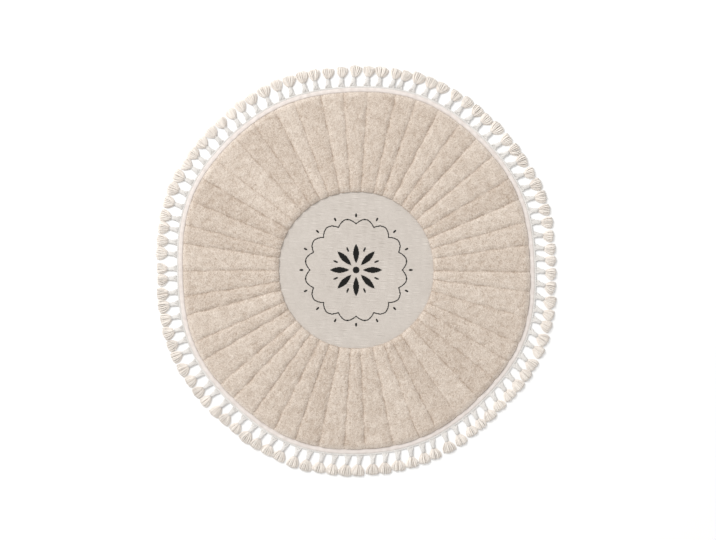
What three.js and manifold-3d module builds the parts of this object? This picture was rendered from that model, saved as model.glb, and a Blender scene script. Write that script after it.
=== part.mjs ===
// A round kids rug with a deep pile cut into sunray ribs round a flat-woven middle, an edge
// binding folded over its rim, and a fringe of tied tassels on a narrow braid.
// Millimetres, +Z up. The rug lies face up on the floor, which is z = 0, with its middle at the origin.

import * as THREE from "three";
import { mergeVertices } from "three/addons/utils/BufferGeometryUtils.js";
import Module from "manifold-3d";

const wasm = await Module();
wasm.setup();

// Outline: the edge of the braid is a circle that the weaving pulled out of round.
const EDGE_RADIUS = 600;
const OUT_OF_ROUND = [
  { waves: 2, amount: 6.5, towards: 90 },
  { waves: 3, amount: 1.4, towards: 23 },
  { waves: 4, amount: 2.9, towards: 54 },
  { waves: 5, amount: 1.4, towards: 61 },
  { waves: 6, amount: 1.7, towards: 30 },
  { waves: 8, amount: 3.4, towards: 24 },
];
const MIDDLE_RADIUS = 255;

// Ground and pile.
const GROUND_THICK = 4;
const PILE_TOP = 17;
const PILE_RADIUS = 577;
const OUTER_SHOULDER = { width: 5.5, drop: 3.4 };
const INNER_SHOULDER = { width: 7, drop: 3.6 };
const PILE_FOOT = 2;
const RIB_COUNT = 46;
const RIB_UNEVEN = 0.14;
const RIB_HEIGHT_UNEVEN = 0.5;
const GROOVE_WIDTH = 7;
// How much of the pile's height is gone at the bottom of a groove, and at a rib's edges beside it.
const GROOVE_CUT = 0.58;
const RIB_EDGE_CUT = 0.13;
const STEPS_PER_RIB = 4;

// Binding: a tape folded over the ground's rim.
const BINDING_WIDTH = 14.6;
const BINDING_THICK = 1;
const BINDING_TOP = 5.3;
const BINDING_UNDER_WIDTH = 12.6;
const SEWN_GAP = 0.3;
const RIM_GAP = 0.75;

// Fringe: the braid and its tassels.
const BRAID_WIDTH = 6.5;
const BRAID_THICK = 4.6;
const TASSEL_COUNT = 94;
const TASSEL_FIRST = 79.2;
const TASSEL_JOIN_PITCH = 2.7;
const TASSEL_UNEVEN = 0.35;
const LEAN_MEAN = -6.4;
const LEAN_SWING = 7.5;
const LEAN_UNEVEN = 4.5;
const LENGTH_UNEVEN = 0.07;
const TASSEL_CLEARANCE = 1.2;
const BELLY_OUT = 55;
const BELLY_HALF_WIDTH = 17.5;
const HEAD_END = 35;

// Half of a tassel from above, by distance out from the braid's edge and across from its middle line,
// with the height there: the flared root, the stem, the tied neck and head, then the round brush end
// of one lock and the inner side of the slit between the two locks.
const TASSEL_SIDE = [
  { out: -3, across: 9, height: 3.4 },
  { out: 7, across: 5.4, height: 5.2 },
  { out: 31, across: 4.4, height: 6.2 },
  { out: HEAD_END, across: 5.6, height: 7.6 },
  { out: BELLY_OUT + 1, across: BELLY_HALF_WIDTH, height: 6.4 },
  { out: 62.5, across: 14.8, height: 5 },
  { out: 65.5, across: 8, height: 5 },
  { out: 65, across: 1.1, height: 6.5 },
  { out: BELLY_OUT, across: 0.8, height: 11.5 },
];
const SLIT_ROOT = { out: HEAD_END + 1, across: 0, height: 8 };

const COLOURS = { pile: 0xd6c7ba, binding: 0xe5ddd6, fringe: 0xded2c8 };

const radians = THREE.MathUtils.degToRad;

// A fixed uneven number from -1 to 1 for each place in a row, with a series for each kind of unevenness.
function uneven(place, series) {
  const wave = Math.sin(place * 12.9898 + series * 78.233) * 43758.5453;
  return 2 * (wave - Math.floor(wave)) - 1;
}

// How far the outline stands out from its circle at an angle.
function outOfRound(angle) {
  return OUT_OF_ROUND.reduce(
    (sum, { waves, amount, towards }) => sum + amount * Math.cos(waves * (angle - radians(towards))),
    0,
  );
}

// The outline's unevenness fades towards the middle of the rug.
function pulledRadius(radius, angle) {
  return radius + outOfRound(angle) * Math.min(1, (radius / PILE_RADIUS) ** 2);
}

function onlyPlaces(geometry) {
  geometry.deleteAttribute("normal");
  geometry.deleteAttribute("uv");
  return mergeVertices(geometry, 1e-4);
}

// Takes out triangles that have no area, which a turned profile has on its axis.
function closedFaces(geometry) {
  const corners = geometry.index.array;
  const kept = [];
  for (let i = 0; i < corners.length; i += 3) {
    const [a, b, c] = corners.slice(i, i + 3);
    if (a !== b && b !== c && c !== a) kept.push(a, b, c);
  }
  geometry.setIndex(kept);
  return geometry;
}

// A ring or disc turned about Z from a profile of [radius, height] points, counter-clockwise as seen
// with the radius to the right. place(radius, height, step) gives each point's radius, height and angle.
function turned(profile, steps, place) {
  const points = profile.map(([radius, height]) => new THREE.Vector2(radius, height));
  const geometry = closedFaces(onlyPlaces(new THREE.LatheGeometry(points, steps)));
  const spots = geometry.attributes.position;
  for (let i = 0; i < spots.count; i += 1) {
    const radius = Math.hypot(spots.getX(i), spots.getZ(i));
    const turn = (Math.atan2(spots.getX(i), spots.getZ(i)) / (2 * Math.PI) + 1) % 1;
    const step = Math.round(turn * steps) % steps;
    const moved = place(radius, spots.getY(i), step);
    const reach = radius < 1e-6 ? 0 : pulledRadius(radius, moved.angle);
    spots.setXYZ(i, reach * Math.cos(moved.angle), reach * Math.sin(moved.angle), moved.height);
  }
  return geometry;
}

// The groove before a rib lies at this angle.
function grooveAngle(rib) {
  return ((rib + RIB_UNEVEN * uneven(rib % RIB_COUNT, 1)) / RIB_COUNT) * 2 * Math.PI;
}

// The woven ground and the pile on it: ribs with a rounded crest, and a narrow cut groove between them.
function rug() {
  const steps = RIB_COUNT * STEPS_PER_RIB;
  const rimRadius = EDGE_RADIUS - BRAID_WIDTH - SEWN_GAP - BINDING_THICK - RIM_GAP;
  const rimBottom = BINDING_THICK + SEWN_GAP;
  const rimTop = BINDING_TOP - BINDING_THICK - SEWN_GAP;
  const profile = [
    [0, 0],
    [PILE_RADIUS + 0.5, 0],
    [PILE_RADIUS + 1.8, rimBottom],
    [rimRadius, rimBottom],
    [rimRadius, rimTop],
    [PILE_RADIUS, rimTop],
    [PILE_RADIUS - 1, PILE_TOP - OUTER_SHOULDER.drop],
    [PILE_RADIUS - 1 - OUTER_SHOULDER.width, PILE_TOP],
    [(PILE_RADIUS + MIDDLE_RADIUS) / 2, PILE_TOP],
    [MIDDLE_RADIUS + PILE_FOOT + INNER_SHOULDER.width, PILE_TOP],
    [MIDDLE_RADIUS + PILE_FOOT, PILE_TOP - INNER_SHOULDER.drop],
    [MIDDLE_RADIUS, GROUND_THICK],
    [0, GROUND_THICK],
  ];
  return turned(profile, steps, (radius, height, step) => {
    const rib = Math.floor(step / STEPS_PER_RIB);
    const before = grooveAngle(rib);
    const after = rib + 1 < RIB_COUNT ? grooveAngle(rib + 1) : grooveAngle(0) + 2 * Math.PI;
    const halfGroove = radius > 0 ? GROOVE_WIDTH / 2 / radius : 0;
    const crest = height + RIB_HEIGHT_UNEVEN * (uneven(rib, 2) - 1);
    const across = [
      { angle: before, cut: GROOVE_CUT },
      { angle: before + halfGroove, cut: RIB_EDGE_CUT },
      { angle: (before + after) / 2, cut: 0 },
      { angle: after - halfGroove, cut: RIB_EDGE_CUT },
    ][step % STEPS_PER_RIB];
    const pileHeight = crest - across.cut * (crest - GROUND_THICK);
    const isPile = height > GROUND_THICK + 1;
    return { angle: across.angle, height: isPile ? pileHeight : height };
  });
}

// The tassels go round from the place where the braid's ends meet.
function tasselAngle(i) {
  const pitch = (360 - TASSEL_JOIN_PITCH) / (TASSEL_COUNT - 1);
  return radians(TASSEL_FIRST + i * pitch + TASSEL_UNEVEN * uneven(i, 3));
}

// The binding and the braid have one straight stretch for each tassel, from midway to midway.
function edgeAngle(step) {
  const next = step + 1 < TASSEL_COUNT ? tasselAngle(step + 1) : tasselAngle(0) + 2 * Math.PI;
  return (tasselAngle(step) + next) / 2;
}

// The edge binding, folded over the rim. Its upper leg shows beside the pile, and the lower one
// lies on the floor.
function binding() {
  const outer = EDGE_RADIUS - BRAID_WIDTH - SEWN_GAP;
  const inner = outer - BINDING_WIDTH;
  const innerUnder = outer - BINDING_UNDER_WIDTH;
  const fold = outer - BINDING_THICK;
  const profile = [
    [innerUnder, 0],
    [outer - 0.6, 0],
    [outer, 0.8],
    [outer, BINDING_TOP - 1],
    [outer - 1.4, BINDING_TOP],
    [inner, BINDING_TOP],
    [inner, BINDING_TOP - BINDING_THICK],
    [fold, BINDING_TOP - BINDING_THICK],
    [fold, BINDING_THICK],
    [innerUnder, BINDING_THICK],
    [innerUnder, 0],
  ];
  return turned(profile, TASSEL_COUNT, (radius, height, step) => ({
    angle: edgeAngle(step),
    height,
  }));
}

// One tassel along +X with its underside on the floor: a stem and a head that ends in two locks.
function tassel(halfWidth, stretch) {
  const side = [...TASSEL_SIDE, SLIT_ROOT].map(({ out, across, height }) =>
    out > HEAD_END
      ? { x: HEAD_END + (out - HEAD_END) * stretch, y: (across * halfWidth) / BELLY_HALF_WIDTH, height }
      : { x: out, y: across, height },
  );
  const otherSide = side.slice(0, -1).map(({ x, y, height }) => ({ x, y: -y, height }));
  const outline = [...side, ...otherSide.reverse()];
  const shape = new THREE.Shape(outline.map(({ x, y }) => new THREE.Vector2(x, y)));
  const geometry = onlyPlaces(new THREE.ExtrudeGeometry(shape, { depth: 1, bevelEnabled: false }));
  const spots = geometry.attributes.position;
  for (let i = 0; i < spots.count; i += 1) {
    const here = ({ x, y }) => Math.hypot(x - spots.getX(i), y - spots.getY(i)) < 1e-3;
    if (spots.getZ(i) > 0.5) spots.setZ(i, outline.find(here).height);
  }
  return geometry;
}

// The tassels lean mostly clockwise.
function tasselPlaces() {
  const places = [];
  for (let i = 0; i < TASSEL_COUNT; i += 1) {
    const angle = tasselAngle(i);
    const lean = LEAN_MEAN - LEAN_SWING * Math.cos(angle) + LEAN_UNEVEN * uneven(i, 4);
    const root = new THREE.Vector3(Math.cos(angle), Math.sin(angle), 0);
    root.multiplyScalar(pulledRadius(EDGE_RADIUS, angle));
    const turn = angle + radians(lean);
    const belly = root.clone();
    belly.add(new THREE.Vector3(BELLY_OUT * Math.cos(turn), BELLY_OUT * Math.sin(turn), 0));
    places.push({ root, turn, belly, stretch: 1 + LENGTH_UNEVEN * uneven(i, 5) });
  }
  return places;
}

function solid(geometry) {
  const vertProperties = new Float32Array(geometry.attributes.position.array);
  const triVerts = new Uint32Array(geometry.index.array);
  return new wasm.Manifold(new wasm.Mesh({ numProp: 3, vertProperties, triVerts }));
}

// The braid with the roots of all the tassels worked into it.
function fringe() {
  const inner = EDGE_RADIUS - BRAID_WIDTH;
  const profile = [
    [inner, 0],
    [EDGE_RADIUS, 0],
    [EDGE_RADIUS - 0.5, BRAID_THICK - 0.5],
    [inner, BRAID_THICK],
    [inner, 0],
  ];
  const braid = turned(profile, TASSEL_COUNT, (radius, height, step) => ({
    angle: edgeAngle(step),
    height,
  }));
  const pieces = [solid(braid)];
  const places = tasselPlaces();
  places.forEach(({ root, turn, belly, stretch }, i) => {
    const next = places[(i + 1) % TASSEL_COUNT].belly;
    const last = places[(i + TASSEL_COUNT - 1) % TASSEL_COUNT].belly;
    const room = Math.min(belly.distanceTo(next), belly.distanceTo(last)) / 2 - TASSEL_CLEARANCE;
    const halfWidth = Math.min(BELLY_HALF_WIDTH, room);
    const piece = tassel(halfWidth, stretch);
    piece.rotateZ(turn);
    piece.translate(root.x, root.y, 0);
    pieces.push(solid(piece));
  });
  const joined = wasm.Manifold.union(pieces).getMesh();
  const geometry = new THREE.BufferGeometry();
  geometry.setAttribute("position", new THREE.BufferAttribute(joined.vertProperties, 3));
  geometry.setIndex(new THREE.BufferAttribute(joined.triVerts, 1));
  return geometry;
}

function clothMesh(name, geometry, color) {
  const material = new THREE.MeshStandardMaterial({ color, roughness: 0.95, metalness: 0 });
  const mesh = new THREE.Mesh(geometry, material);
  mesh.name = name;
  return mesh;
}

const kidsRug = new THREE.Group();
kidsRug.add(clothMesh("rug", rug(), COLOURS.pile));
kidsRug.add(clothMesh("binding", binding(), COLOURS.binding));
kidsRug.add(clothMesh("fringe", fringe(), COLOURS.fringe));

export default kidsRug;
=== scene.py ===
import math

import bmesh
import bpy
import numpy as np
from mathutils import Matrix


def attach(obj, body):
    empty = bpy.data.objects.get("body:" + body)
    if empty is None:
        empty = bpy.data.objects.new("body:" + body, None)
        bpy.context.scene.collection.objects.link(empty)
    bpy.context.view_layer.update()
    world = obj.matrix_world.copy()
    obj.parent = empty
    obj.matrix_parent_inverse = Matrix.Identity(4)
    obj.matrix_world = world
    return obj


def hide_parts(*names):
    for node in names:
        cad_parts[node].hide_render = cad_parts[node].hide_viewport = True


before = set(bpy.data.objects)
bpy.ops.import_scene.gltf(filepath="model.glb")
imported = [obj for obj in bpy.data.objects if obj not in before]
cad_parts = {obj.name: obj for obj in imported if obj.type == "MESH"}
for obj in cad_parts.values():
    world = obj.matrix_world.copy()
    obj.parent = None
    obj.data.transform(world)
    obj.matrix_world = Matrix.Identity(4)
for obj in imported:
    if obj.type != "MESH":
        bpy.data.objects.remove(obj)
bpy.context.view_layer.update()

# The ground: one round cloth of plain weave that the whole rug is made on, about 4 mm thick. It
# shows as the flat middle, where black yarn is woven in as a figure, and from below. The weaving
# pulled its outline a little out of round, and every ring that is sewn to it follows that.
MM = 0.001
EDGE_RADIUS = 600 * MM
PILE_RADIUS = 577 * MM
MIDDLE_RADIUS = 255 * MM
WOVEN_REACH = 4 * MM
WOVEN_RADIUS = MIDDLE_RADIUS + WOVEN_REACH
GROUND_TOP = 4 * MM
GROUND_RIM_RADIUS = 591.4 * MM
RIM_BOTTOM = 1.3 * MM
UNDERSIDE_RADIUS = 577.5 * MM
UNDERSIDE_HEIGHT = 0.2 * MM
RIM_STEPS = 376
THREAD_PITCH = 1.65 * MM
THREAD_RELIEF = 0.28 * MM
GROUND_PROFILE = [
    # radius and height, from under the pile out to the rim, and in again to the underside
    (WOVEN_RADIUS + 3 * MM, GROUND_TOP - 1 * MM),
    (PILE_RADIUS - 2 * MM, GROUND_TOP),
    (GROUND_RIM_RADIUS, GROUND_TOP - 0.1 * MM),
    (GROUND_RIM_RADIUS, RIM_BOTTOM),
    (UNDERSIDE_RADIUS + 1.3 * MM, RIM_BOTTOM),
    (UNDERSIDE_RADIUS, UNDERSIDE_HEIGHT),
]
PULLED_WAVES = [
    # waves round the rug, amount in mm, direction in degrees
    (2, 6.5, 90),
    (3, 1.4, 23),
    (4, 2.9, 54),
    (5, 1.4, 61),
    (6, 1.7, 30),
    (8, 3.4, 24),
]


def uneven(place, series):
    """A fixed uneven number from -1 to 1 for each place in a row, the same that the solids use."""
    wave = np.sin(place * 12.9898 + series * 78.233) * 43758.5453
    return 2 * (wave - np.floor(wave)) - 1


def out_of_round(angle):
    """How far the outline stands out from its circle at an angle."""
    total = 0
    for waves, amount, towards in PULLED_WAVES:
        total = total + amount * MM * np.cos(waves * (angle - math.radians(towards)))
    return total


def pulled(radius, angle):
    """A ring's radius at an angle, once the weaving has pulled it out of round."""
    return radius + out_of_round(angle) * np.minimum(1, (radius / PILE_RADIUS) ** 2)


WAVES_ADDED = 6
WAVE_STRETCH = 1.4
WAVE_STRETCH_UNEVEN = 0.6


def waviness(x, y, size, series):
    """Soft unevenness from about -1 to 1 over the cloth, in lumps of this size in metres."""
    total = 0
    for wave in range(WAVES_ADDED):
        turn = math.pi * uneven(wave, series)
        length = size * (WAVE_STRETCH + WAVE_STRETCH_UNEVEN * uneven(wave, series + 1))
        start = math.pi * uneven(wave, series + 2)
        along = x * math.cos(turn) + y * math.sin(turn)
        total = total + np.sin(2 * math.pi / length * along + start)
    return total / (WAVES_ADDED / 2)


def ring_at(bm, radius, height, steps):
    """One ring of points round the rug, pulled out of round."""
    angles = [2 * math.pi * i / steps for i in range(steps)]
    reach = [pulled(radius, a) for a in angles]
    return [bm.verts.new((r * math.cos(a), r * math.sin(a), height)) for r, a in zip(reach, angles)]


def band_between(bm, ring, next_ring):
    """A band of faces from one ring of points to the next."""
    for i in range(len(ring)):
        j = (i + 1) % len(ring)
        bm.faces.new((ring[i], ring[j], next_ring[j], next_ring[i]))


HEART_RADIUS = 11 * MM
PETAL_COUNT = 8
PETAL_OUT = 54 * MM
PETAL_HALF_LENGTH = 32 * MM
PETAL_HALF_WIDTH = 9.5 * MM
SEED_OUT = 72 * MM
SEED_HALF_LENGTH = 8 * MM
SEED_HALF_WIDTH = 3.2 * MM
WREATH_RADIUS = 150 * MM
WREATH_HALF_WIDTH = 1.75 * MM
SCALLOP_COUNT = 16
SCALLOP_RISE = 17 * MM
BERRY_COUNT = 16
BERRY_OUT = 178 * MM
BERRY_HALF_LENGTH = 6.5 * MM
BERRY_HALF_WIDTH = 3.2 * MM


def in_oval(radius, angle, out, half_length, half_width):
    """True inside an oval that lies along the line of angle 0, with its middle this far out."""
    along = radius * np.cos(angle) - out
    across = radius * np.sin(angle)
    return (along / half_length) ** 2 + (across / half_width) ** 2 < 1


def figured(x, y):
    """True where black yarn is woven in: a flower with petals and seeds, in a scalloped wreath."""
    radius = np.hypot(x, y)
    angle = np.arctan2(y, x)
    heart = radius < HEART_RADIUS
    petal_turn = 2 * math.pi / PETAL_COUNT
    from_petal = (angle + petal_turn / 2) % petal_turn - petal_turn / 2
    petal_along = radius * np.cos(from_petal) - PETAL_OUT
    petal_across = radius * np.sin(from_petal)
    petals = np.abs(petal_across) < PETAL_HALF_WIDTH * (1 - (petal_along / PETAL_HALF_LENGTH) ** 2)
    from_seed = angle % petal_turn - petal_turn / 2
    seeds = in_oval(radius, from_seed, SEED_OUT, SEED_HALF_LENGTH, SEED_HALF_WIDTH)
    scallop = SCALLOP_COUNT / 2 * angle
    wreath_radius = WREATH_RADIUS + SCALLOP_RISE * np.abs(np.sin(scallop))
    slope = SCALLOP_COUNT / 2 * SCALLOP_RISE * np.cos(scallop) / radius.clip(1 * MM)
    wreath = np.abs(radius - wreath_radius) < WREATH_HALF_WIDTH * np.sqrt(1 + slope**2)
    berry_turn = 2 * math.pi / BERRY_COUNT
    from_berry = (angle + berry_turn / 2) % berry_turn - berry_turn / 2
    berries = in_oval(radius, from_berry, BERRY_OUT, BERRY_HALF_LENGTH, BERRY_HALF_WIDTH)
    return heart | petals | seeds | wreath | berries


def node(tree, kind, **settings):
    """A new shader node, with its properties and the fixed values of its inputs set by name."""
    made = tree.nodes.new("ShaderNode" + kind)
    for name, value in settings.items():
        if hasattr(made, name):
            setattr(made, name, value)
        else:
            made.inputs[name.replace("_", " ")].default_value = value
    return made


def share_of(tree, value, share, rest):
    """A socket that gives a share of a value plus the rest, which is a number or a socket."""
    step = node(tree, "Math", operation="MULTIPLY_ADD")
    step.inputs[1].default_value = share
    tree.links.new(value, step.inputs[0])
    if isinstance(rest, float):
        step.inputs[2].default_value = rest
    else:
        tree.links.new(rest, step.inputs[2])
    return step.outputs[0]


def linear(red, green, blue):
    """A colour as seen on screen, 0 to 255, as the shader's own numbers."""
    shares = [c / 255 for c in (red, green, blue)]
    return tuple(c / 12.92 if c <= 0.04045 else ((c + 0.055) / 1.055) ** 2.4 for c in shares) + (1,)


def add_to_relief(material, height, share):
    """Adds a share of a height, which a socket gives, to the relief of a yarn's fibres."""
    tree = material.node_tree
    bump = next(n for n in tree.nodes if n.bl_idname == "ShaderNodeBump")
    fibres = bump.inputs["Height"].links[0].from_socket
    tree.links.new(share_of(tree, height, share, fibres), bump.inputs["Height"])


FLECK_SHARE = 0.36
PATCH_SHARE = 0.24
FLECKS_IN_PATCH = 9
TIP_RELIEF = -1.6
TIP_PAINTED_SHADE = -0.7


def yarn_material(name, dark, pale, fleck, fibre, relief, roughness, sheen, tip=None):
    """Spun yarn: its colour runs from dark to pale with the tone stored on the mesh and with soft
    flecks of a size in metres, and its fibres are a fine relief. Cut yarn shows its tips too, with
    painted shade between them."""
    material = bpy.data.materials.new(name)
    material.use_nodes = True
    tree = material.node_tree
    shader = tree.nodes["Principled BSDF"]
    shader.inputs["Roughness"].default_value = roughness
    shader.inputs["Specular IOR Level"].default_value = 0.15
    shader.inputs["Sheen Weight"].default_value = sheen
    shader.inputs["Sheen Roughness"].default_value = 0.6
    place = node(tree, "TexCoord").outputs["Object"]
    tone = node(tree, "Attribute", attribute_name="tone").outputs["Fac"]
    flecks = node(tree, "TexNoise", Scale=1 / fleck, Detail=3.0, Roughness=0.6)
    patches = node(tree, "TexNoise", Scale=1 / (FLECKS_IN_PATCH * fleck), Detail=2.0)
    fibres = node(tree, "TexNoise", Scale=1 / fibre, Detail=2.0, Roughness=0.7)
    for pattern in (flecks, patches, fibres):
        tree.links.new(place, pattern.inputs["Vector"])
    bump = node(tree, "Bump", Strength=0.7, Distance=relief)
    tree.links.new(fibres.outputs["Fac"], bump.inputs["Height"])
    tree.links.new(bump.outputs["Normal"], shader.inputs["Normal"])
    if tip:
        # Painted shade: the yarn is darker away from each tip's middle, where the tips' relief dips.
        tips = node(tree, "TexVoronoi", Scale=1 / tip)
        tree.links.new(place, tips.inputs["Vector"])
        add_to_relief(material, tips.outputs["Distance"], TIP_RELIEF)
        tone = share_of(tree, tips.outputs["Distance"], TIP_PAINTED_SHADE, tone)
    both = node(tree, "Math", operation="ADD")
    for socket, (pattern, share) in enumerate([(flecks, FLECK_SHARE), (patches, PATCH_SHARE)]):
        tree.links.new(share_of(tree, pattern.outputs["Fac"], share, -share / 2), both.inputs[socket])
    total = node(tree, "Math", operation="ADD", use_clamp=True)
    tree.links.new(both.outputs[0], total.inputs[0])
    tree.links.new(tone, total.inputs[1])
    colour = node(tree, "Mix", data_type="RGBA")
    colour.inputs[6].default_value = dark
    colour.inputs[7].default_value = pale
    tree.links.new(total.outputs[0], colour.inputs["Factor"])
    tree.links.new(colour.outputs[2], shader.inputs["Base Color"])
    return material


def weave_height(tree, pitch):
    """Height of a plain weave at each place, -1 to 1: one thread over the next, both ways."""
    place = node(tree, "TexCoord")
    parts = node(tree, "SeparateXYZ")
    over = node(tree, "Math", operation="MULTIPLY")
    tree.links.new(place.outputs["Object"], parts.inputs[0])
    for socket, axis in enumerate("XY"):
        turn = node(tree, "Math", operation="MULTIPLY")
        turn.inputs[1].default_value = math.pi / pitch
        wave = node(tree, "Math", operation="COSINE")
        tree.links.new(parts.outputs[axis], turn.inputs[0])
        tree.links.new(turn.outputs[0], wave.inputs[0])
        tree.links.new(wave.outputs[0], over.inputs[socket])
    return over.outputs[0]


def finish_piece(piece, tone, materials, node_name):
    """Stores the tone at each point, with whatever light and shade is painted into it, and makes the
    piece part of the rug.
    """
    mesh = piece.data
    stored = mesh.attributes.new("tone", "FLOAT", "POINT")
    stored.data.foreach_set("value", np.asarray(tone, np.float32))
    for material in materials:
        mesh.materials.append(material)
    mesh.shade_smooth()
    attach(piece, "root")
    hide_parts(node_name)


WEAVE_SHARE = -0.8
ground_weft = yarn_material(
    "ground_weft",
    linear(178, 169, 160),
    linear(225, 217, 209),
    fleck=7 * MM,
    fibre=0.6 * MM,
    relief=0.3 * MM,
    roughness=0.95,
    sheen=0.2,
)
black_weft = yarn_material(
    "black_weft",
    linear(9, 9, 8),
    linear(34, 33, 30),
    fleck=7 * MM,
    fibre=0.6 * MM,
    relief=0.3 * MM,
    roughness=0.9,
    sheen=0.1,
)
for weft in (ground_weft, black_weft):
    add_to_relief(weft, weave_height(weft.node_tree, THREAD_PITCH), WEAVE_SHARE)

ground_bm = bmesh.new()
half_count = int(WOVEN_RADIUS / THREAD_PITCH) + 1
crossings = {}
for row in range(-half_count, half_count + 1):
    for column in range(-half_count, half_count + 1):
        x = column * THREAD_PITCH
        y = row * THREAD_PITCH
        if math.hypot(x, y) < WOVEN_RADIUS:
            over = THREAD_RELIEF if (row + column) % 2 else -THREAD_RELIEF
            crossings[row, column] = ground_bm.verts.new((x, y, GROUND_TOP + over))
for (row, column), corner in crossings.items():
    next_places = ((row, column + 1), (row + 1, column + 1), (row + 1, column))
    others = [crossings.get(place) for place in next_places]
    if all(others):
        cell = ground_bm.faces.new([corner, *others])
        middle_x = (column + 0.5) * THREAD_PITCH
        middle_y = (row + 0.5) * THREAD_PITCH
        cell.material_index = int(figured(np.float64(middle_x), np.float64(middle_y)))
loose = [corner for corner in ground_bm.verts if not corner.link_faces]
bmesh.ops.delete(ground_bm, geom=loose, context="VERTS")
woven_edge = [edge for edge in ground_bm.edges if edge.is_boundary]
ground_rings = [ring_at(ground_bm, radius, height, RIM_STEPS) for radius, height in GROUND_PROFILE]
under_pile = ground_rings[0]
under_pile_edge = []
for i in range(RIM_STEPS):
    ends = (under_pile[i], under_pile[(i + 1) % RIM_STEPS])
    under_pile_edge.append(ground_bm.edges.new(ends))
bmesh.ops.triangle_fill(ground_bm, use_beauty=True, edges=woven_edge + under_pile_edge)
for inner_ring, outer_ring in zip(ground_rings, ground_rings[1:]):
    band_between(ground_bm, outer_ring, inner_ring)
ground_bm.faces.new(list(reversed(ground_rings[-1])))
bmesh.ops.recalc_face_normals(ground_bm, faces=ground_bm.faces)
ground_mesh = bpy.data.meshes.new("woven_ground")
ground_bm.to_mesh(ground_mesh)
ground_bm.free()
woven_ground = bpy.data.objects.new("woven_ground", ground_mesh)
bpy.context.scene.collection.objects.link(woven_ground)

THREAD_TONE = 0.5
THREAD_PAINTED_SHADE_RISE = 0.9
THREAD_PAINTED_SHADE_REACH = 0.3 * MM
SLUB_TONE = 0.22
SLUB_SQUEEZE = 0.12
SLUB_THICKNESS = 5 * MM
SLUB_SPACING = 38 * MM
ground_spots = np.zeros(len(ground_mesh.vertices) * 3)
ground_mesh.vertices.foreach_get("co", ground_spots)
ground_x, ground_y, ground_z = ground_spots.reshape(-1, 3).T
# Painted light and shade: threads that lie over are paler and threads that lie under are darker, by
# their height.
over_top = (ground_z - GROUND_TOP).clip(-THREAD_PAINTED_SHADE_REACH, THREAD_PAINTED_SHADE_REACH)
slubs = waviness(SLUB_SQUEEZE * ground_x, ground_y, SLUB_THICKNESS, 80)
slubs = slubs * waviness(ground_x, ground_y, SLUB_SPACING, 84)
thread_tone = THREAD_TONE + THREAD_PAINTED_SHADE_RISE * over_top / MM + SLUB_TONE * slubs
finish_piece(woven_ground, thread_tone, [ground_weft, black_weft], "rug")

# The pile: yarn ends cut at about 13 mm above the ground, so dense that they close into a soft
# face of small round tufts, and carved with shears into sunray ribs with a narrow groove between
# them. The tufts at its rims lean out. It is one pile, in three rings only for the mesh's size.
PILE_TOP = 17 * MM
PILE_LOWEST = 3 * MM
PILE_ROW = 1.79 * MM
PILE_LOOSE = 0.3 * MM
PILE_SWELL = 0.22 * MM
SWELL_SIZE = 26 * MM
RIB_COUNT = 46
RIB_UNEVEN = 0.14
RIB_HEIGHT_UNEVEN = 0.5 * MM
RIB_EDGE_DROP = 1.5 * MM
GROOVE_DEPTH = 3.1 * MM
GROOVE_REACH = 7.4 * MM
NOTCH_DEPTH = 1.4 * MM
NOTCH_REACH = 2.0 * MM
SHORN_MEAN = 0.8
SHORN_UNEVEN = 0.32
SHORN_LENGTH = 45 * MM
GROOVE_WANDER = 1.3 * MM
WANDER_LENGTH = 55 * MM
GROOVE_JITTER = 0.7 * MM
JITTER_LENGTH = 11 * MM
INNER_SHOULDER_DROP = 6 * MM
OUTER_SHOULDER_DROP = 6.2 * MM
SHOULDER_WIDTH = 14 * MM
TUFT_PITCH = 4.4 * MM
TUFT_OFF_GRID = 0.4
TUFT_RISE = 1.5 * MM
TUFT_UNEVEN = 0.45 * MM
TUFT_LEVEL = 0.45
TUFT_EDGE = 0.4
TIP_PITCH = 2.2 * MM
BRUSHED_RISE = 0.4 * MM
BRUSHED_WIDTH = 10 * MM
BRUSHED_SQUEEZE = 0.3
RING_LAP = 1.5 * MM
RING_FOOT_OUT = 2 * MM
PILE_RINGS = [
    # inner radius in mm, outer radius in mm, steps across a rib
    (256.5, 376, 23),
    (376, 483, 31),
    (483, 576, 36),
]
PILE_RIM = [
    # mm that the rim leans out, height in mm at most, mm below the face at least
    (1.5, 11.4, 1.1),
    (2.4, 9.0, 2.3),
    (2.6, 6.6, 3.4),
    (-0.6, 4.1, 4.2),
]

pile_inner_radius = PILE_RINGS[0][0] * MM
pile_outer_radius = PILE_RINGS[-1][1] * MM
rib_places = np.arange(RIB_COUNT)
groove_angles = (rib_places + RIB_UNEVEN * uneven(rib_places, 1)) / RIB_COUNT * 2 * math.pi
groove_angles = np.append(groove_angles, groove_angles[0] + 2 * math.pi)


def in_groove(radius, rib, share, reach):
    """How much of the nearest groove's depth a place has. The shears went more or less deep."""
    from_groove = radius * (groove_angles[rib + 1] - groove_angles[rib]) * np.minimum(share, 1 - share)
    groove_number = (rib + (share > 0.5)) % RIB_COUNT
    # Grooves lie 50 mm apart in the waviness, so that each is shorn in its own way
    shorn = SHORN_MEAN + SHORN_UNEVEN * waviness(radius, groove_number * 50 * MM, SHORN_LENGTH, 62)
    return shorn * np.exp(-((from_groove / reach) ** 2))


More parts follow.
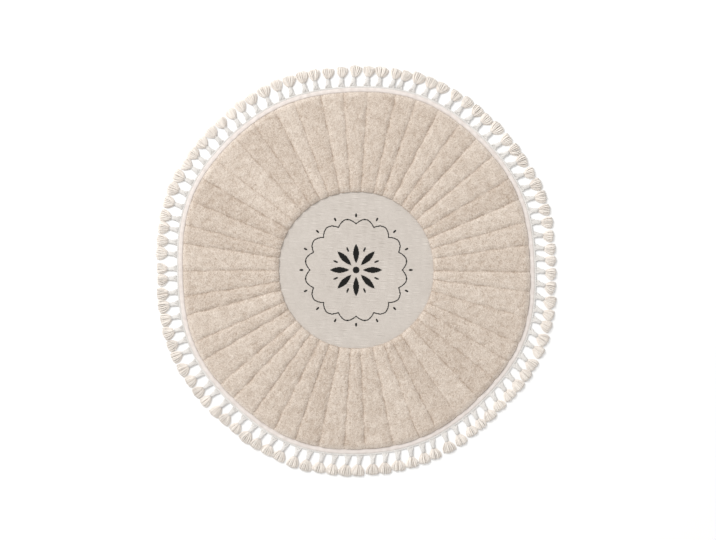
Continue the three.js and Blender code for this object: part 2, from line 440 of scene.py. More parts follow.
def pile_height(radius, rib, share):
    """Height of the cut pile at an unpulled radius and a share of the way across a rib."""
    from_crest = np.abs(2 * share - 1)
    crest = PILE_TOP + RIB_HEIGHT_UNEVEN * (uneven(rib, 2) - 1)
    from_inner_rim = (radius - pile_inner_radius) / SHOULDER_WIDTH
    from_outer_rim = (pile_outer_radius - radius) / SHOULDER_WIDTH
    shoulder = INNER_SHOULDER_DROP * (1 - np.clip(from_inner_rim, 0, 1)) ** 1.5
    shoulder = shoulder + OUTER_SHOULDER_DROP * (1 - np.clip(from_outer_rim, 0, 1)) ** 1.5
    groove = GROOVE_DEPTH * in_groove(radius, rib, share, GROOVE_REACH)
    notch = NOTCH_DEPTH * in_groove(radius, rib, share, NOTCH_REACH)
    return crest - RIB_EDGE_DROP * from_crest**2.5 - shoulder - groove - notch


def rim_rows(edge_mm, way, face):
    """The rows down a rim from the height of the pile's face. way is 1 outwards, -1 inwards."""
    rows = []
    for out, highest, drop in PILE_RIM:
        heights = np.clip(face - drop * MM, PILE_LOWEST, highest * MM)
        rows.append(((edge_mm + way * out) * MM, heights))
    return rows


def nearest_tuft(x, y):
    """How many pitches off the nearest tuft's middle is, and that tuft's own uneven number."""
    column = np.floor(x / TUFT_PITCH)
    row = np.floor(y / TUFT_PITCH)
    apart = np.full(x.shape, np.inf)
    own = np.zeros(x.shape)
    for column_step in (-1, 0, 1):
        for row_step in (-1, 0, 1):
            number = (column + column_step) * 631 + (row + row_step) * 17
            tuft_x = column + column_step + 0.5 + TUFT_OFF_GRID * uneven(number, 50)
            tuft_y = row + row_step + 0.5 + TUFT_OFF_GRID * uneven(number, 51)
            distance = np.hypot(x / TUFT_PITCH - tuft_x, y / TUFT_PITCH - tuft_y)
            closer = distance < apart
            apart = np.where(closer, distance, apart)
            own = np.where(closer, uneven(number, 52), own)
    return apart, own


def piece_from(name, points, face_sets):
    """A mesh object from points and arrays of faces, one array for each number of corners."""
    sizes = np.concatenate([np.full(len(faces), faces.shape[1]) for faces in face_sets])
    corners = np.concatenate([faces.ravel() for faces in face_sets])
    mesh = bpy.data.meshes.new(name)
    mesh.vertices.add(len(points))
    mesh.vertices.foreach_set("co", np.asarray(points, np.float32).ravel())
    mesh.loops.add(len(corners))
    mesh.loops.foreach_set("vertex_index", corners.astype(np.int32))
    mesh.polygons.add(len(sizes))
    mesh.polygons.foreach_set("loop_start", (np.cumsum(sizes) - sizes).astype(np.int32))
    mesh.update(calc_edges=True)
    piece = bpy.data.objects.new(name, mesh)
    bpy.context.scene.collection.objects.link(piece)
    return piece


def ring_quads(rows, columns, rows_closed):
    """Faces of a sheet of points in rows and columns. The columns close on themselves, and the rows
    may, as in a ring with a closed section."""
    row = np.arange(rows if rows_closed else rows - 1)[:, None]
    column = np.arange(columns)[None, :]
    next_row = (row + 1) % rows
    next_column = (column + 1) % columns
    corners = [row * columns + column, row * columns + next_column]
    corners += [next_row * columns + next_column, next_row * columns + column]
    return np.stack(np.broadcast_arrays(*corners), -1).reshape(-1, 4)


PILE_TONE = 0.725
TUFT_TONE_UNEVEN = 0.1
BETWEEN_TUFTS_PAINTED_SHADE = 0.3
RIM_SIDE_PAINTED_SHADE = 0.12
CLOUD_TONE = 0.03
CLOUD_SIZE = 40 * MM
BRUSHED_TONE = 0.05
RIB_TONE_UNEVEN = 0.06
NOTCH_PAINTED_SHADE = 0.22
RIM_PAINTED_LIGHT = 0.12
RIM_PAINTED_LIGHT_WIDTH = 11 * MM
pile_yarn = yarn_material(
    "pile_yarn",
    linear(174, 154, 136),
    linear(253, 242, 230),
    fleck=8 * MM,
    fibre=0.5 * MM,
    relief=0.8 * MM,
    roughness=1.0,
    sheen=0.35,
    tip=TIP_PITCH,
)
pile_chance = np.random.default_rng(46)
for ring_number, (inner_mm, outer_mm, rib_steps) in enumerate(PILE_RINGS):
    inner = inner_mm * MM
    outer = outer_mm * MM
    rib = np.repeat(rib_places, rib_steps)
    share = np.tile(np.arange(rib_steps), RIB_COUNT) / rib_steps
    across = groove_angles[rib] + share * (groove_angles[rib + 1] - groove_angles[rib])
    row_count = round((outer_mm - inner_mm) * MM / PILE_ROW)
    rows = []
    for row_radius in np.linspace(inner, outer, row_count):
        rows.append((row_radius, pile_height(row_radius, rib, share)))
    inner_foot = rim_rows(inner_mm, -1, rows[0][1])[::-1]
    outer_foot = rim_rows(outer_mm, 1, rows[-1][1])
    if ring_number > 0:
        lap = pile_height(inner - PILE_ROW, rib, share) - RING_LAP
        inner_foot = [(inner - RING_FOOT_OUT, GROUND_TOP), (inner - PILE_ROW, lap)]
    if ring_number < len(PILE_RINGS) - 1:
        lap = pile_height(outer + PILE_ROW, rib, share) - RING_LAP
        outer_foot = [(outer + PILE_ROW, lap), (outer + RING_FOOT_OUT, GROUND_TOP)]
    rows = inner_foot + rows + outer_foot
    row_radii = np.stack([np.full(across.shape, row_radius) for row_radius, height in rows])
    heights = np.stack([np.broadcast_to(height, across.shape) for row_radius, height in rows])
    on_top = np.zeros(heights.shape)
    on_top[len(inner_foot):len(rows) - len(outer_foot)] = 1

    reach = pulled(row_radii, across) + pile_chance.uniform(-PILE_LOOSE, PILE_LOOSE, heights.shape)
    straight_x = reach * np.cos(across)
    straight_y = reach * np.sin(across)
    wander = GROOVE_WANDER * waviness(straight_x, straight_y, WANDER_LENGTH, 60)
    wander = wander + GROOVE_JITTER * waviness(straight_x, straight_y, JITTER_LENGTH, 64)
    wander = wander + pile_chance.uniform(-PILE_LOOSE, PILE_LOOSE, heights.shape)
    turned = across + wander / row_radii
    pile_x = reach * np.cos(turned)
    pile_y = reach * np.sin(turned)

    apart, own = nearest_tuft(pile_x, pile_y)
    # Ribs lie 1.7 widths of 60 mm apart in the waviness, so that each is brushed in its own way
    brushed = waviness(BRUSHED_SQUEEZE * row_radii, (share + 1.7 * rib) * 60 * MM, BRUSHED_WIDTH, 68)
    heights = heights + on_top * (TUFT_RISE * (TUFT_LEVEL - apart) + TUFT_UNEVEN * own)
    heights = heights + on_top * PILE_SWELL * waviness(pile_x, pile_y, SWELL_SIZE, 20)
    heights = heights + on_top * BRUSHED_RISE * brushed
    flute = (1 - on_top) * TUFT_RISE * (TUFT_EDGE - apart) / row_radii
    ring_points = np.stack([pile_x * (1 + flute), pile_y * (1 + flute), heights], -1).reshape(-1, 3)
    ring_faces = ring_quads(*heights.shape, True)[:, ::-1]
    pile_ring = piece_from(f"pile_ring_{ring_number + 1}", ring_points, [ring_faces])

    # Painted shade: the pile is darker between the tufts, away from each tuft's middle.
    pile_tone = PILE_TONE + TUFT_TONE_UNEVEN * own - BETWEEN_TUFTS_PAINTED_SHADE * (apart - TUFT_EDGE)
    # Painted shade: the rim's sides and the ring laps below the pile's face are darker.
    pile_tone = pile_tone - RIM_SIDE_PAINTED_SHADE * (1 - on_top)
    pile_tone = pile_tone + CLOUD_TONE * waviness(pile_x, pile_y, CLOUD_SIZE, 30)
    pile_tone = pile_tone + BRUSHED_TONE * brushed + RIB_TONE_UNEVEN * uneven(rib, 71)
    # Painted shade: the pile is darker in the narrow notch at the bottom of each groove.
    pile_tone = pile_tone - NOTCH_PAINTED_SHADE * in_groove(row_radii, rib, share, NOTCH_REACH)
    # Painted light: the pile is paler towards its outer rim, lifting the shade that falls there.
    near_rim = 1 - ((pile_outer_radius - row_radii) / RIM_PAINTED_LIGHT_WIDTH).clip(0, 1)
    pile_tone = pile_tone + RIM_PAINTED_LIGHT * near_rim
    finish_piece(pile_ring, pile_tone.ravel(), [pile_yarn], "rug")

# The binding: a pale ribbed cotton tape, folded over the rim of the ground and sewn through. Its
# upper leg shows as a pale ring beside the pile, and its lower leg lies on the floor.
BINDING_RADIUS = 593.2 * MM
BINDING_STEPS = 940
TAPE_PUCKER = 0.3 * MM
PUCKER_LENGTH = 22 * MM
PUCKER_SQUEEZE = 3
TAPE_RIB_COUNT = 2480
TAPE_RIB_SHARE = 0.9
TAPE_TONE = 0.5
TAPE_TONE_UNEVEN = 0.12
TAPE_TONE_SIZE = 18 * MM
TAPE_SECTION = [
    # mm in from the binding's outer edge, mm up, share of the tape's puckers
    (12.6, 0.1, 0),
    (0.8, 0.1, 0),
    (0, 0.9, 0),
    (0, 4.0, 0),
    (1.3, 5.2, 1),
    (5, 5.6, 1),
    (10, 5.7, 1),
    (13.6, 5.4, 1),
    (14.5, 4.8, 0.5),
    (14.2, 4.3, 0),
    (1.1, 4.2, 0),
    (1.1, 1.05, 0),
    (12.6, 1.05, 0),
]

binding_angle = np.arange(BINDING_STEPS) / BINDING_STEPS * 2 * math.pi
tape_rows = []
for inset, up, puckered in TAPE_SECTION:
    pucker_across = inset * MM * PUCKER_SQUEEZE
    pucker = waviness(binding_angle * EDGE_RADIUS, pucker_across, PUCKER_LENGTH, 40)
    tape_reach = pulled(BINDING_RADIUS - inset * MM, binding_angle)
    tape_height = up * MM + TAPE_PUCKER * puckered * pucker
    tape_row = [tape_reach * np.cos(binding_angle), tape_reach * np.sin(binding_angle), tape_height]
    tape_rows.append(np.stack(tape_row, -1))
tape_points = np.stack(tape_rows)
tape_faces = ring_quads(len(TAPE_SECTION), BINDING_STEPS, True)
edge_binding = piece_from("edge_binding", tape_points.reshape(-1, 3), [tape_faces])
binding_tape = yarn_material(
    "binding_tape",
    linear(205, 193, 186),
    linear(250, 243, 238),
    fleck=12 * MM,
    fibre=0.5 * MM,
    relief=0.15 * MM,
    roughness=0.9,
    sheen=0.25,
)


def rib_height(tree, count):
    """Height of fine ribs that run across the tape, -1 to 1."""
    place = node(tree, "TexCoord")
    parts = node(tree, "SeparateXYZ")
    angle = node(tree, "Math", operation="ARCTAN2")
    turn = node(tree, "Math", operation="MULTIPLY")
    turn.inputs[1].default_value = count
    wave = node(tree, "Math", operation="SINE")
    tree.links.new(place.outputs["Object"], parts.inputs[0])
    tree.links.new(parts.outputs["Y"], angle.inputs[0])
    tree.links.new(parts.outputs["X"], angle.inputs[1])
    tree.links.new(angle.outputs[0], turn.inputs[0])
    tree.links.new(turn.outputs[0], wave.inputs[0])
    return wave.outputs[0]


add_to_relief(binding_tape, rib_height(binding_tape.node_tree, TAPE_RIB_COUNT), TAPE_RIB_SHARE)
tape_uneven = waviness(tape_points[..., 0], tape_points[..., 1], TAPE_TONE_SIZE, 43)
tape_tone = TAPE_TONE + TAPE_TONE_UNEVEN * tape_uneven
finish_piece(edge_binding, tape_tone.ravel(), [binding_tape], "binding")

# The seam: one row of lockstitch in pale thread along the binding's inner edge, which holds both
# legs of the tape to the ground. Each stitch is drawn down at its ends.
STITCH_PITCH = 5.2 * MM
STITCH_LENGTH = 4.3 * MM
STITCH_INSET = 11.4 * MM
STITCH_HALF_WIDTH = 0.6 * MM
STITCH_TOP = 6.5 * MM
STITCH_TONE = 0.6
STITCH_FORM = [
    # along in stitches, across in half widths, height in mm from the top
    (-0.5, 0, -1),
    (-0.25, -1, -0.5),
    (-0.25, 0, 0),
    (-0.25, 1, -0.5),
    (0.25, -1, -0.5),
    (0.25, 0, 0),
    (0.25, 1, -0.5),
    (0.5, 0, -1),
    (0, 0, -1.6),
]
STITCH_FACES = [
    # upper side
    (0, 1, 2), (0, 2, 3), (1, 4, 5), (1, 5, 2), (2, 5, 6), (2, 6, 3), (7, 5, 4), (7, 6, 5),
    # under side
    (8, 1, 0), (8, 0, 3), (8, 3, 6), (8, 6, 7), (8, 7, 4), (8, 4, 1),
]

seam_radius = BINDING_RADIUS - STITCH_INSET
stitch_count = round(2 * math.pi * seam_radius / STITCH_PITCH)
stitch_angle = np.arange(stitch_count)[:, None] / stitch_count * 2 * math.pi
form_along, form_across, form_up = np.array(STITCH_FORM).T
stitch_along = form_along * STITCH_LENGTH
stitch_out = pulled(seam_radius, stitch_angle) + form_across * STITCH_HALF_WIDTH
stitch_x = stitch_out * np.cos(stitch_angle) - stitch_along * np.sin(stitch_angle)
stitch_y = stitch_out * np.sin(stitch_angle) + stitch_along * np.cos(stitch_angle)
stitch_z = np.broadcast_to(STITCH_TOP + form_up * MM, stitch_x.shape)
stitch_points = np.stack([stitch_x, stitch_y, stitch_z], -1).reshape(-1, 3)
first_points = len(STITCH_FORM) * np.arange(stitch_count)[:, None, None]
stitch_faces = (first_points + np.array(STITCH_FACES)).reshape(-1, 3)
binding_seam = piece_from("binding_seam", stitch_points, [stitch_faces])
stitch_tone = np.full(len(stitch_points), STITCH_TONE)
finish_piece(binding_seam, stitch_tone, [binding_tape], "binding")

# The braid: three soft greyish cotton strands plaited flat, sewn along the outside of the
# binding. The tassels are worked into it, so it carries them all.
BRAID_MIDDLE = 595.9 * MM
BRAID_SWING = 1.75 * MM
BRAID_RISE = 0.75 * MM
BRAID_HEIGHT = 2.35 * MM
BRAID_STRANDS = 3
BRAID_STRAND_RADIUS = 1.8 * MM
BRAID_STRAND_SIDES = 4
BRAID_PLAITS = 208
STEPS_PER_PLAIT = 12
BRAID_TONE = 0.51
BRAID_PAINTED_LIGHT_RISE = 0.1
COTTON_LEAD = 22 * MM
COTTON_FIBRE_PAINTED_SHADE = 0.9
FIBRE_SQUEEZE = 0.08
FIBRE_SPREAD = 2.2 * MM
UPWARDS = np.array([0.0, 0.0, 1.0])


def tubes(paths, radii, sides, reference, ring):
    """Points and faces of one tube for each path. reference is a direction that no path runs along,
    which the tube's sides are set out from. ring joins each path's end to its start."""
    ahead = np.roll(paths, -1, 1) - np.roll(paths, 1, 1)
    if not ring:
        ahead[:, 0] = paths[:, 1] - paths[:, 0]
        ahead[:, -1] = paths[:, -1] - paths[:, -2]
    ahead = ahead / np.linalg.norm(ahead, axis=-1, keepdims=True)
    side = np.cross(ahead, reference)
    side = side / np.linalg.norm(side, axis=-1, keepdims=True)
    up = np.cross(side, ahead)
    turns = (np.arange(sides) + 0.5) / sides * 2 * math.pi
    around = side[:, :, None] * np.cos(turns)[:, None] + up[:, :, None] * np.sin(turns)[:, None]
    points = paths[:, :, None] + radii[:, :, None, None] * around
    count, steps = paths.shape[:2]
    firsts = steps * sides * np.arange(count)[:, None, None]
    walls = (firsts + ring_quads(steps, sides, ring)).reshape(-1, 4)
    if ring:
        return points, [walls]
    first_end = np.arange(sides)[::-1]
    last_end = (steps - 1) * sides + np.arange(sides)
    ends = (firsts + np.stack([first_end, last_end])).reshape(-1, sides)
    return points, [walls, ends]


def lay_fibres(piece, paths, sides, lead):
    """Stores where each point of some tubes lies in its own yarn, along it and round it, so that the
    yarn's fibres follow it. They turn once round the yarn in each lead."""
    strides = np.linalg.norm(np.roll(paths, -1, 1) - paths, axis=-1)
    along = (np.cumsum(strides, 1) - strides)[..., None]
    turns = (np.arange(sides) + 0.5) / sides * 2 * math.pi + (2 * math.pi / lead) * along
    start = uneven(np.arange(len(paths)), 70)[:, None, None]
    run = np.broadcast_to(FIBRE_SQUEEZE * along + start, turns.shape)
    fibre_places = np.stack([run, FIBRE_SPREAD * np.cos(turns), FIBRE_SPREAD * np.sin(turns)], -1)
    stored = piece.data.attributes.new("fibre_place", "FLOAT_VECTOR", "POINT")
    stored.data.foreach_set("vector", fibre_places.astype(np.float32).ravel())


def comb(material, share):
    """Makes a yarn's fibres run along it, by the places stored on the mesh, and paints shade between
    them: darker where their relief is low.
    """
    tree = material.node_tree
    along = node(tree, "Attribute", attribute_name="fibre_place")
    bump = next(n for n in tree.nodes if n.bl_idname == "ShaderNodeBump")
    fibres = bump.inputs["Height"].links[0].from_node
    tree.links.new(along.outputs["Vector"], fibres.inputs["Vector"])
    colour = next(n for n in tree.nodes if n.bl_idname == "ShaderNodeMix")
    tone = colour.inputs["Factor"].links[0].from_socket
    between = node(tree, "Math", operation="SUBTRACT")
    between.inputs[1].default_value = 0.5
    # Painted shade between the fibres: the tone follows their relief.
    fibre_shade = node(tree, "Math", operation="MULTIPLY_ADD", use_clamp=True)
    fibre_shade.inputs[1].default_value = share
    tree.links.new(fibres.outputs["Fac"], between.inputs[0])
    tree.links.new(between.outputs[0], fibre_shade.inputs[0])
    tree.links.new(tone, fibre_shade.inputs[2])
    tree.links.new(fibre_shade.outputs[0], colour.inputs["Factor"])


plait_steps = BRAID_PLAITS * STEPS_PER_PLAIT
plait_angle = np.arange(plait_steps) / plait_steps * 2 * math.pi
strand_paths = []
for strand in range(BRAID_STRANDS):
    phase = plait_angle * BRAID_PLAITS + strand * 2 * math.pi / BRAID_STRANDS
    strand_reach = pulled(BRAID_MIDDLE, plait_angle) + BRAID_SWING * np.sin(phase)
    strand_x = strand_reach * np.cos(plait_angle)
    strand_y = strand_reach * np.sin(plait_angle)
    strand_height = BRAID_HEIGHT + BRAID_RISE * np.sin(2 * phase)
    strand_paths.append(np.stack([strand_x, strand_y, strand_height], -1))
strand_paths = np.stack(strand_paths)
strand_radii = np.full(strand_paths.shape[:2], BRAID_STRAND_RADIUS)
braid_points, braid_faces = tubes(strand_paths, strand_radii, BRAID_STRAND_SIDES, UPWARDS, True)
fringe_braid = piece_from("fringe_braid", braid_points.reshape(-1, 3), braid_faces)
cord_cotton = yarn_material(
    "cord_cotton",
    linear(168, 163, 158),
    linear(250, 247, 243),
    fleck=9 * MM,
    fibre=0.7 * MM,
    relief=0.5 * MM,
    roughness=0.95,
    sheen=0.2,
)
comb(cord_cotton, COTTON_FIBRE_PAINTED_SHADE)
lay_fibres(fringe_braid, strand_paths, BRAID_STRAND_SIDES, COTTON_LEAD)
# Painted light and shade: the strands are paler up high and darker low down.
braid_tone = BRAID_TONE + BRAID_PAINTED_LIGHT_RISE * (braid_points[..., 2].ravel() / BRAID_HEIGHT)
finish_piece(fringe_braid, braid_tone, [cord_cotton], "fringe")

# The stems: a tassel's yarns come out of the braid spread like a root, gather within about a
# centimetre and twist into a soft cord of four plies, up to the tied neck. The tassels lean
# mostly clockwise, each in its own way, and one is closer where the braid's ends meet.
TASSEL_COUNT = 94
TASSEL_FIRST = 79.2
TASSEL_JOIN_PITCH = 2.7
TASSEL_UNEVEN = 0.35
LEAN_MEAN = -6.4
LEAN_SWING = 7.5
LEAN_UNEVEN = 4.5
LENGTH_UNEVEN = 0.07
BELLY_OUT = 55 * MM
YARN_LOWEST = 0.1 * MM
PLY_COUNT = 4
PLY_SIDES = 5
PLY_RADIUS = 3.6 * MM
PLY_ORBIT = 4.3 * MM
PLY_HEIGHT = 2.5 * MM
PLY_RISE = 1.5 * MM
PLY_LEAD = 24 * MM
STEM_ROOT = -5 * MM
STEM_END = 29 * MM
STEM_STEPS = 10
ROOT_SPREAD = 8.2 * MM
ROOT_SUNK = 0.5
ROOT_FULL_OUT = 2.5 * MM
GATHERED_OUT = 12 * MM
GATHERING_STEP = 3
NECK_DRAWN_IN = 0.4
DRAWN_IN_BEFORE_END = 8 * MM
DRAWN_IN_LENGTH = 6 * MM
STEM_TONE = 0.46
STEM_PAINTED_LIGHT_RISE = 0.12
STEM_PAINTED_LIGHT_HEIGHT = 5 * MM

tassel = np.arange(TASSEL_COUNT)
tassel_pitch = (360 - TASSEL_JOIN_PITCH) / (TASSEL_COUNT - 1)
tassel_angle = np.radians(TASSEL_FIRST + tassel * tassel_pitch + TASSEL_UNEVEN * uneven(tassel, 3))
tassel_lean = LEAN_MEAN - LEAN_SWING * np.cos(tassel_angle) + LEAN_UNEVEN * uneven(tassel, 4)
tassel_turn = tassel_angle + np.radians(tassel_lean)
tassel_stretch = 1 + LENGTH_UNEVEN * uneven(tassel, 5)
tassel_reach = pulled(EDGE_RADIUS, tassel_angle)
tassel_root = tassel_reach[:, None] * np.stack([np.cos(tassel_angle), np.sin(tassel_angle)], -1)
tassel_out = np.stack([np.cos(tassel_turn), np.sin(tassel_turn)], -1)
tassel_belly = tassel_root + BELLY_OUT * tassel_out
to_next = np.linalg.norm(np.roll(tassel_belly, -1, 0) - tassel_belly, axis=1)
room_before = np.roll(to_next, 1) / 2
room_after = to_next / 2


def on_tassels(out, across, up):
    """Puts distances out along a tassel, across it and up, in arrays with one row for each tassel."""
    shape = (TASSEL_COUNT,) + (1,) * (out.ndim - 1)
    x = tassel_root[:, 0].reshape(shape) + out * tassel_out[:, 0].reshape(shape)
    y = tassel_root[:, 1].reshape(shape) + out * tassel_out[:, 1].reshape(shape)
    x = x - across * tassel_out[:, 1].reshape(shape)
    y = y + across * tassel_out[:, 0].reshape(shape)
    return np.stack([x, y, up], -1)


stem_out = np.linspace(STEM_ROOT, STEM_END, STEM_STEPS)
ply = np.arange(PLY_COUNT)
gather_run = (stem_out / GATHERED_OUT).clip(0, 1)
gathered = gather_run**2 * (3 - 2 * gather_run)
sunk = np.interp(stem_out, [STEM_ROOT, ROOT_FULL_OUT], [ROOT_SUNK, 1])
to_neck = ((stem_out - STEM_END + DRAWN_IN_BEFORE_END) / DRAWN_IN_LENGTH).clip(0, 1)
drawn_in = 1 - NECK_DRAWN_IN * to_neck
twist = 2 * math.pi * (ply[:, None] / PLY_COUNT + stem_out[None] / PLY_LEAD)
twist = twist[None] + math.pi * uneven(tassel, 6)[:, None, None]
spread_across = ROOT_SPREAD * (2 * ply / (PLY_COUNT - 1) - 1)
# At the root the plies lie side by side in the order in which they gather, so that none crosses
order = np.argsort(np.argsort(np.cos(twist[:, :, GATHERING_STEP]), axis=1), axis=1)
ply_across = spread_across[order][:, :, None] * (1 - gathered)
ply_across = ply_across + PLY_ORBIT * np.cos(twist) * gathered * drawn_in
ply_up = PLY_HEIGHT * sunk + PLY_RISE * (1 + np.sin(twist)) * gathered
stem_places = np.broadcast_to(stem_out, ply_across.shape)
ply_paths = on_tassels(stem_places, ply_across, ply_up).reshape(-1, STEM_STEPS, 3)
ply_radii = np.broadcast_to(PLY_RADIUS * sunk * drawn_in, ply_paths.shape[:2])
stem_points, stem_faces = tubes(ply_paths, ply_radii, PLY_SIDES, UPWARDS, False)
stem_points[..., 2] = stem_points[..., 2].clip(YARN_LOWEST, None)
tassel_stems = piece_from("tassel_stems", stem_points.reshape(-1, 3), stem_faces)
lay_fibres(tassel_stems, ply_paths, PLY_SIDES, COTTON_LEAD)
# Painted light and shade: the stems are paler up high and darker near the floor.
stem_tone = STEM_TONE + STEM_PAINTED_LIGHT_RISE * stem_points[..., 2].ravel() / STEM_PAINTED_LIGHT_HEIGHT
finish_piece(tassel_stems, stem_tone, [cord_cotton], "fringe")

# The necks: a whipping of thin thread drawn tight round each stem's end, in two and a half turns.
# It sits deep in the yarn, so it reads as a dark tied line.
NECK_OUT = 27 * MM
NECK_TURNS = 2.5
NECK_STEPS = 24
NECK_HALF_WIDTH = 4.6 * MM
NECK_HALF_HEIGHT = 3.3 * MM
NECK_TONE = 0.52
WHIPPING_RADIUS = 0.75 * MM
WHIPPING_SIDES = 4
WHIPPING_PITCH = 2.1 * WHIPPING_RADIUS
WHIPPING_LEAD = 8 * MM

neck_turn = np.linspace(0, NECK_TURNS * 2 * math.pi, NECK_STEPS)
neck_out = NECK_OUT + (neck_turn / (2 * math.pi) - NECK_TURNS / 2) * WHIPPING_PITCH
neck_shape = (TASSEL_COUNT, NECK_STEPS)
whipping_paths = on_tassels(
    np.broadcast_to(neck_out, neck_shape),
    np.broadcast_to(NECK_HALF_WIDTH * np.cos(neck_turn), neck_shape),
    np.broadcast_to(NECK_HALF_HEIGHT * (1 + np.sin(neck_turn)) + WHIPPING_RADIUS, neck_shape),
)
along_tassels = np.concatenate([tassel_out, np.zeros((TASSEL_COUNT, 1))], 1)[:, None]
whipping_radii = np.full(neck_shape, WHIPPING_RADIUS)
neck_points, neck_faces = tubes(whipping_paths, whipping_radii, WHIPPING_SIDES, along_tassels, False)
neck_points[..., 2] = neck_points[..., 2].clip(YARN_LOWEST, None)
tassel_necks = piece_from("tassel_necks", neck_points.reshape(-1, 3), neck_faces)
lay_fibres(tassel_necks, whipping_paths, WHIPPING_SIDES, WHIPPING_LEAD)
neck_tone = np.full(neck_points[..., 2].size, NECK_TONE)
finish_piece(tassel_necks, neck_tone, [cord_cotton], "fringe")

# The skirts: below its neck each tassel's yarns open into two soft locks, fullest near the cut
# ends, which are trimmed round like a brush. The lowest yarns lie on the floor.
SKIRT_LAYERS = [
    # yarns side by side, height of their middles at the belly in mm, share of the half width
    (13, 1.6, 1.0),
    (11, 4.2, 0.93),
    (8, 6.8, 0.75),
    (4, 9.0, 0.45),
]
SKIRT_STEPS = [
    # from the neck to the tips: how far the skirt has opened, share of a yarn's thickness
    (0, 0.62),
    (0.42, 0.85),
    (0.75, 1.0),
    (0.95, 1.0),
    (1.02, 0.95),
    (0.96, 0.6),
]
BELLY_HALF_WIDTH = 17.5 * MM
BELLY_MIDDLE = 5.5 * MM
HEAD_HALF_WIDTH = 0.2 * BELLY_HALF_WIDTH
HEAD_MIDDLE = 3.6 * MM
HEAD_FLATTENED = 0.33
YARN_RADIUS = 1.9 * MM
YARN_SIDES = 4
YARN_LOWEST_MIDDLE = 0.8 * YARN_RADIUS
YARN_ACROSS_UNEVEN = 0.03
YARN_UP_UNEVEN = 0.4 * MM
YARN_ARCH = 0.8
YARN_WAVE = 0.35 * MM
YARN_WAVE_RUN = 7
YARN_WAVE_START = 6.3
LOCK_PARTING = 0.03
TIP_OUT = 64.8 * MM
TIP_ROUNDING = 4.5 * MM
TIP_UNEVEN = 0.8 * MM
SKIRT_START = 27 * MM
SKIRT_WIDEST = 23.5 * MM
SKIRT_CROWDING = 0.99
SKIRT_UNEVEN = 0.13
SKIRT_LEAD = 90 * MM
SKIRT_FIBRE_PAINTED_SHADE = 0.8
SKIRT_TONE = 0.8
YARN_TONE_UNEVEN = 0.09
TOP_PAINTED_LIGHT = 0.1
TOP_PAINTED_LIGHT_HEIGHT = 9 * MM
NECK_PAINTED_SHADE = 0.15
TIPS_PAINTED_LIGHT = 0.12

skirt_chance = np.random.default_rng(94)
opening, thickness = np.array(SKIRT_STEPS).T
yarn_across = np.concatenate([np.linspace(-share, share, count) for count, up, share in SKIRT_LAYERS])
yarn_up = np.concatenate([np.full(count, up * MM) for count, up, share in SKIRT_LAYERS])
skirt_shape = (TASSEL_COUNT, len(yarn_across))
edge_share = YARN_RADIUS / BELLY_HALF_WIDTH
belly_share = yarn_across * (1 - edge_share) + LOCK_PARTING * np.sign(yarn_across)
belly_share = belly_share[None] + skirt_chance.normal(0, YARN_ACROSS_UNEVEN, skirt_shape)
belly_up = yarn_up[None] + skirt_chance.normal(0, YARN_UP_UNEVEN, skirt_shape)
run = np.linspace(0, 1, len(SKIRT_STEPS))
tip_out = TIP_OUT - TIP_ROUNDING * belly_share**2 + skirt_chance.normal(0, TIP_UNEVEN, skirt_shape)
tip_out = SKIRT_START + (tip_out - SKIRT_START) * tassel_stretch[:, None]
skirt_out = SKIRT_START + (tip_out[..., None] - SKIRT_START) * run
skirt_room = np.where(belly_share < 0, room_before[:, None], room_after[:, None])
crowding = SKIRT_CROWDING + SKIRT_UNEVEN * uneven(tassel, 8)[:, None]
skirt_half_width = np.minimum(SKIRT_WIDEST, crowding * skirt_room)[..., None]
opened = HEAD_HALF_WIDTH + (skirt_half_width - HEAD_HALF_WIDTH) * opening
skirt_across = belly_share[..., None] * opened
head_up = HEAD_MIDDLE + HEAD_FLATTENED * (belly_up - BELLY_MIDDLE)
rise = np.sin(run * math.pi * YARN_ARCH) / math.sin(math.pi * YARN_ARCH / 2)
skirt_up = head_up[..., None] + (belly_up - head_up)[..., None] * rise.clip(0, 1)
wave_start = skirt_chance.uniform(0, YARN_WAVE_START, skirt_shape)[..., None]
skirt_up = skirt_up + YARN_WAVE * np.sin(YARN_WAVE_RUN * run + wave_start)
skirt_paths = on_tassels(skirt_out, skirt_across, skirt_up.clip(YARN_LOWEST_MIDDLE, None))
skirt_paths = skirt_paths.reshape(-1, len(SKIRT_STEPS), 3)
skirt_radii = np.broadcast_to(YARN_RADIUS * thickness, skirt_paths.shape[:2])
skirt_points, skirt_faces = tubes(skirt_paths, skirt_radii, YARN_SIDES, UPWARDS, False)
skirt_points[..., 2] = skirt_points[..., 2].clip(YARN_LOWEST, None)
tassel_skirts = piece_from("tassel_skirts", skirt_points.reshape(-1, 3), skirt_faces)
skirt_yarn = yarn_material(
    "skirt_yarn",
    linear(180, 165, 153),
    linear(253, 246, 238),
    fleck=14 * MM,
    fibre=0.8 * MM,
    relief=0.7 * MM,
    roughness=0.95,
    sheen=0.3,
)
comb(skirt_yarn, SKIRT_FIBRE_PAINTED_SHADE)
lay_fibres(tassel_skirts, skirt_paths, YARN_SIDES, SKIRT_LEAD)
skirt_tone = SKIRT_TONE + YARN_TONE_UNEVEN * skirt_chance.normal(0, 1, len(skirt_paths))[:, None]
# Painted light: the higher yarns are paler.
skirt_tone = skirt_tone + TOP_PAINTED_LIGHT * (skirt_points[..., 2].mean(-1) / TOP_PAINTED_LIGHT_HEIGHT)
# Painted light: the yarns are paler at their cut tips, lifting the shadow there.
# Painted shade: the yarns are darker near the neck, where they crowd together.
skirt_tone = skirt_tone - NECK_PAINTED_SHADE * (1 - run) ** 2 + TIPS_PAINTED_LIGHT * run**3
skirt_tone = np.repeat(skirt_tone[..., None], YARN_SIDES, -1)
finish_piece(tassel_skirts, skirt_tone.ravel(), [skirt_yarn], "fringe")

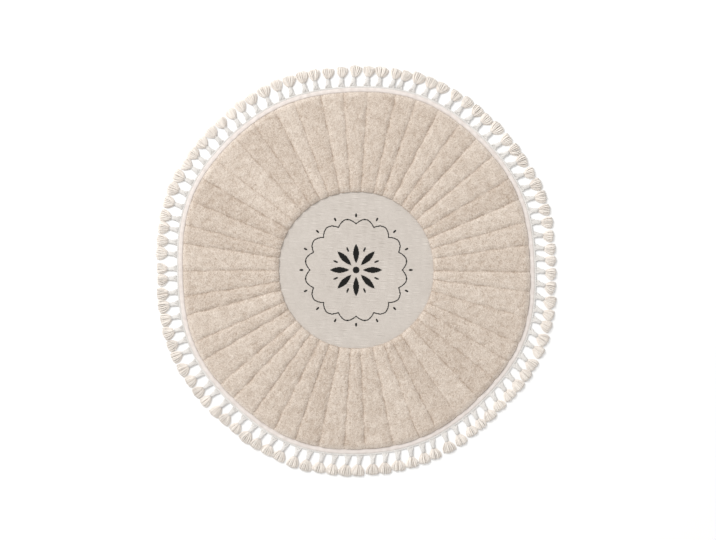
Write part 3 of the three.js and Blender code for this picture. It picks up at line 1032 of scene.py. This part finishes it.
# The place for the picture: a plain pale floor, soft light from all round with a broad lamp from
# the upper left, and a camera straight above.
FLOOR_HALF = 30
FLOOR_PAINT = (0.96, 0.96, 0.96, 1)
SKY_COLOUR = (1.0, 0.995, 0.985, 1)
SKY_STRENGTH = 0.73
LAMP_PLACE = (-5.2, 4.8, 7.0)
LAMP_SIZE = 5.8
LAMP_POWER = 640
PIXEL = 3.2566 * MM
PICTURE_WIDTH = 716
RUG_LEFT_OF_MIDDLE = 1.9
CAMERA_HEIGHT = 4.0
SENSOR_WIDTH = 36

floor_mesh = bpy.data.meshes.new("floor")
floor_corners = [(x * FLOOR_HALF, y * FLOOR_HALF, 0) for x, y in ((-1, -1), (1, -1), (1, 1), (-1, 1))]
floor_mesh.from_pydata(floor_corners, [], [(0, 1, 2, 3)])
floor = bpy.data.objects.new("floor", floor_mesh)
bpy.context.scene.collection.objects.link(floor)
floor_paint = bpy.data.materials.new("floor_paint")
floor_paint.use_nodes = True
floor_shader = floor_paint.node_tree.nodes["Principled BSDF"]
floor_shader.inputs["Base Color"].default_value = FLOOR_PAINT
floor_shader.inputs["Roughness"].default_value = 0.9
floor_shader.inputs["Specular IOR Level"].default_value = 0.1
floor_mesh.materials.append(floor_paint)

world = bpy.data.worlds.new("studio")
world.use_nodes = True
world.node_tree.nodes["Background"].inputs["Color"].default_value = SKY_COLOUR
world.node_tree.nodes["Background"].inputs["Strength"].default_value = SKY_STRENGTH
bpy.context.scene.world = world

lamp_data = bpy.data.lights.new("broad_lamp", "AREA")
lamp_data.shape = "DISK"
lamp_data.size = LAMP_SIZE
lamp_data.energy = LAMP_POWER
lamp = bpy.data.objects.new("broad_lamp", lamp_data)
lamp.location = LAMP_PLACE
to_rug = -lamp.location
lamp.rotation_euler = to_rug.to_track_quat("-Z", "Y").to_euler()
bpy.context.scene.collection.objects.link(lamp)
bpy.context.scene.view_settings.view_transform = "Standard"

camera_data = bpy.data.cameras.new("camera")
camera_data.sensor_width = SENSOR_WIDTH
camera_data.lens = SENSOR_WIDTH * CAMERA_HEIGHT / (PICTURE_WIDTH * PIXEL)
camera = bpy.data.objects.new("camera", camera_data)
camera.location = (RUG_LEFT_OF_MIDDLE * PIXEL, 0, CAMERA_HEIGHT)
bpy.context.scene.collection.objects.link(camera)
bpy.context.scene.camera = camera
